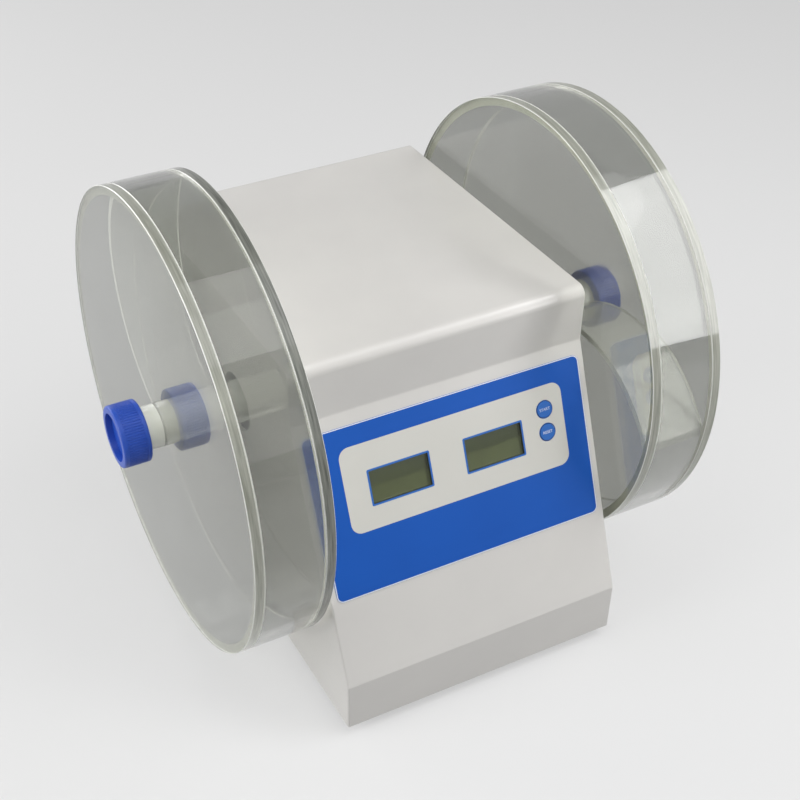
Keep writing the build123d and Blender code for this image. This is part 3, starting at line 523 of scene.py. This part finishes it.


# The left inner plate takes the dark copy and the right one the pale copy: lit and shaded copies of one
# rim, painted by side
plate_rims_lit_and_shaded = {"left": rim_painted_shade, "right": pale_rim}
for side in ("left", "right"):
    for part, body, finish_of, clear, edge in (
        ("drum_ring", "drum_drive", ring_finish, acrylic, ring_end),
        ("drum_inner_plate", "drum_drive", disc_finish, acrylic, plate_rims_lit_and_shaded[side]),
        ("drum_lid", f"{side}_lid", lid_finish, acrylic, pale_rim),
        ("scoop", "drum_drive", vane_finish, scoop_acrylic, painted_light_vane_edge),
        ("hub_tube", "drum_drive", tube_finish, hub_acrylic, painted_light_vane_edge),
    ):
        piece = acrylic_copy(f"{side}_{part}", body, finish_of, clear, edge)
        print(piece.name, len(piece.data.vertices), "vertices")

# %% [markdown]
# The print on the label is a set of very thin solids that lie on the film. Each is drawn flat as
# outlines on the panel, filled between them, thickened, and then laid on the slope. A rounded
# rectangle is a plain one whose four corners are bevelled.

# %% Printed shapes
film_top = 0.0004


def outline(shape, spec):
    if len(spec) == 3:
        x, v, radius = spec
        bmesh.ops.create_circle(shape, segments=64, radius=radius, matrix=Matrix.Translation((x, v, 0)))
        return
    x, v, width, height, corner = spec
    corners = [
        shape.verts.new((x + i * width / 2, v + j * height / 2, 0))
        for i, j in ((-1, -1), (1, -1), (1, 1), (-1, 1))
    ]
    face = shape.faces.new(corners)
    if corner > 0:
        bmesh.ops.bevel(
            shape, geom=corners, offset=corner, segments=8, affect="VERTICES", profile=0.5, material=-1
        )
    loose = [f for f in shape.faces if f.is_valid]
    bmesh.ops.delete(shape, geom=loose, context="FACES_ONLY")


def placed(mesh, name, body, material):
    mesh.materials.append(material)
    piece = bpy.data.objects.new(name, mesh)
    bpy.context.scene.collection.objects.link(piece)
    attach(piece, body)
    return piece


def printed(name, outlines, low, high, material, body="housing"):
    shape = bmesh.new()
    for spec in outlines:
        outline(shape, spec)
    bmesh.ops.triangle_fill(shape, use_beauty=True, use_dissolve=False, edges=shape.edges, normal=(0, 0, 1))
    sheet = bmesh.ops.extrude_face_region(shape, geom=shape.faces)
    moved = [v for v in sheet["geom"] if isinstance(v, bmesh.types.BMVert)]
    bmesh.ops.translate(shape, verts=moved, vec=(0, 0, high - low))
    bmesh.ops.recalc_face_normals(shape, faces=shape.faces)
    bmesh.ops.transform(shape, matrix=panel @ Matrix.Translation((0, 0, low)), verts=shape.verts)
    mesh = bpy.data.meshes.new(name)
    shape.to_mesh(mesh)
    shape.free()
    return placed(mesh, name, body, material)


displays = {"left": (-0.0392, 0.1215), "right": (0.0270, 0.1215)}
display_width, display_height = 0.0404, 0.0210
buttons = {"start": (0.0656, 0.1350), "reset": (0.0656, 0.1200)}
button_hole = 0.0060
rim = 0.0012
rim_size = (display_width + 2 * rim, display_height + 2 * rim, 0.0010)
openings = [(x, v, *rim_size) for x, v in displays.values()]
openings += [(x, v, button_hole) for x, v in buttons.values()]
pale_window = (0.00125, 0.1230, 0.1555, 0.0550, 0.0070)
border_outside = (0, 0.1100, 0.1888, 0.1068, 0.0044)
border_inside = (0, 0.1100, 0.1876, 0.1056, 0.0038)
window_top, border_top, rim_top = film_top + 0.00006, film_top + 0.00005, film_top + 0.0001
pale = printed("label_pale_window", [pale_window] + openings, film_top, window_top, pale_ink)
border = printed("label_pale_border", [border_outside, border_inside], film_top, border_top, white_ink)
print(pale.name, len(pale.data.polygons), border.name, len(border.data.polygons))

# %% [markdown]
# Each display sits in a blue printed rim. A thin liner hides the cut edge of the steel sheet
# inside the opening, as the real bezel does; it is black, which also paints the shade inside the recess.

# %% Display rims and liners
liner = 0.00008
liner_bottom = -0.0019
for side, (x, v) in displays.items():
    opening = (x, v, display_width, display_height, 0)
    inner = (x, v, display_width - 2 * liner, display_height - 2 * liner, 0)
    printed(f"{side}_display_rim", [(x, v, *rim_size), opening], film_top, rim_top, rim_blue)
    # The black liner is partly the bezel and partly painted shade in the recess
    piece = printed(
        f"{side}_display_liner_painted_shade", [opening, inner], liner_bottom, rim_top, black_abs
    )
    print(piece.name, len(piece.data.polygons))

# %% [markdown]
# The caps carry their plain legends in white ink. Text becomes a mesh first, and then it is laid on
# the slope of the panel or on the face of the rocker.

# %% Legends
def legend(name, words, size, place, body, thickness=0.00003):
    text = bpy.data.curves.new(name, "FONT")
    text.body = words
    text.size = size
    text.align_x = "CENTER"
    text.align_y = "CENTER"
    text.extrude = thickness
    holder = bpy.data.objects.new(name + "_text", text)
    bpy.context.scene.collection.objects.link(holder)
    bpy.context.view_layer.update()
    mesh = bpy.data.meshes.new_from_object(holder)
    bpy.data.objects.remove(holder)
    mesh.name = name
    mesh.transform(place)
    mesh.materials.clear()
    return placed(mesh, name, body, white_ink)


cap_top, ink_lift = 0.0009, 0.00002
cap_letters, rocker_letters = 0.0026, 0.0042
for name, (x, v) in buttons.items():
    place = panel @ Matrix.Translation((x, v, cap_top + ink_lift))
    legend(f"{name}_legend", name.upper(), cap_letters, place, name)

# The rocker's two faces slope out from a valley in its middle. At rest the whole rocker is tilted.
# The marks stand a little nearer to the valley than to the crest, inside the part's own box.
pivot = Vector((-0.008, 0.1394, 0.042))
tilt = radians(-10)
outward = Vector((0, cos(tilt), sin(tilt)))
upward = Vector((0, -sin(tilt), cos(tilt)))
sideways = Vector((-1, 0, 0))
valley, crest, half_height, mark_share = 0.0070, 0.0094, 0.0106, 0.4
for mark, end in (("I", 1), ("O", -1)):
    along = (outward * (crest - valley) * end + upward * half_height).normalized()
    out = sideways.cross(along)
    reach = valley + (crest - valley) * mark_share
    face = Matrix((sideways, along, out)).transposed().to_4x4()
    face.translation = pivot + outward * reach + upward * end * half_height * mark_share + out * ink_lift
    legend(f"rocker_mark_{mark}", mark, rocker_letters, face, "rocker")

# %% [markdown]
# The floor is a large pale disc that keeps the soft shadow. To the camera, and in mirrors and through
# glass, it shines a little of its own, so it reads as a pale studio sweep without more light on the
# object. The world fills the shadows with an even grey, and is paler where it is seen, as the floor is.

# %% Floor and world
floor_radius, floor_grey, floor_glow = 6.0, 0.32, 0.46
world_fill, world_seen = 0.21, 0.32


def seen_strength(m, extra, base=0.0):
    ray = add(m, "ShaderNodeLightPath").outputs
    seen = ray["Is Camera Ray"]
    for kind in ("Is Glossy Ray", "Is Transmission Ray"):
        seen = add(m, "ShaderNodeMath", {0: seen, 1: ray[kind]}, operation="MAXIMUM").outputs["Value"]
    strength = add(m, "ShaderNodeMath", {0: seen, 1: extra, 2: base}, operation="MULTIPLY_ADD")
    return strength.outputs["Value"]


def pale_floor():
    shape = bmesh.new()
    bmesh.ops.create_circle(shape, cap_ends=True, segments=96, radius=floor_radius)
    mesh = bpy.data.meshes.new("floor")
    shape.to_mesh(mesh)
    shape.free()
    floor = bpy.data.objects.new("floor", mesh)
    bpy.context.scene.collection.objects.link(floor)
    m = blank("pale_studio_floor")
    glow = add(m, "ShaderNodeEmission", {"Strength": seen_strength(m, floor_glow)})
    matt = add(m, "ShaderNodeBsdfDiffuse", {"Color": (floor_grey, floor_grey, floor_grey, 1)})
    both = add(m, "ShaderNodeAddShader", {0: matt.outputs["BSDF"], 1: glow.outputs["Emission"]})
    add(m, "ShaderNodeOutputMaterial", {"Surface": both.outputs["Shader"]})
    mesh.materials.append(m)
    return floor


floor = pale_floor()
world = bpy.data.worlds.new("studio")
bpy.context.scene.world = world
world.use_nodes = True
background = world.node_tree.nodes["Background"]
background.inputs["Color"].default_value = (1, 1, 1, 1)
strength = seen_strength(world, world_seen, world_fill)
world.node_tree.links.new(strength, background.inputs["Strength"])
print("floor", floor.name, "world", world.name)

# %% [markdown]
# A wide softbox in front on the right draws the bright line along the cabinet's upper bend. A narrow
# strip box beside it is placed where the right drum's wall mirrors it to the camera as a bright patch:
# it is tall, because the wall is curved, and slim, because the wall is straight along the axis. A lamp
# overhead lights the top and the slope, and a fill from the left lights the cabinet's side and the cut
# ends of the acrylic that are seen through the drums. A fill behind on the left lights the rear panel.

# %% Lamps
def soft_lamp(name, place, facing, size, watts):
    data = bpy.data.lights.new(name, "AREA")
    data.shape = "RECTANGLE"
    data.size, data.size_y = size
    data.energy = watts
    lamp = bpy.data.objects.new(name, data)
    bpy.context.scene.collection.objects.link(lamp)
    turn = Vector(facing).to_track_quat("-Z", "Y").to_matrix().to_4x4()
    lamp.matrix_world = Matrix.Translation(place) @ turn
    return lamp


def strip_lamp(name, low, high, facing, width, watts):
    low, high = Vector(low), Vector(high)
    lamp = soft_lamp(name, (low + high) / 2, facing, (width, (high - low).length), watts)
    back = -Vector(facing).normalized()
    along = (high - low).normalized()
    side = along.cross(back).normalized()
    turn = Matrix((side, back.cross(side), back)).transposed().to_4x4()
    lamp.matrix_world = Matrix.Translation((low + high) / 2) @ turn
    return lamp


soft_lamp("softbox", (0.45, -0.83, 0.96), (0, 0.7071, -0.7071), (1.15, 1.5), 3.2)
strip_lamp("strip_box", (0.735, -1.126, 0.295), (0.735, -0.126, 1.297), (-0.557, 0.436, -0.444), 0.30, 8)
soft_lamp("overhead", (0.15, -0.40, 1.5), (0, 0.2, -1), (1.7, 1.0), 6.5)
soft_lamp("left_fill", (-1.4, 0.05, 0.70), (0.95, 0, -0.33), (1.0, 1.0), 14)
soft_lamp("rear_fill", (-0.9, 1.35, 0.60), (0.9, -1.2, -0.45), (1.2, 0.8), 10)
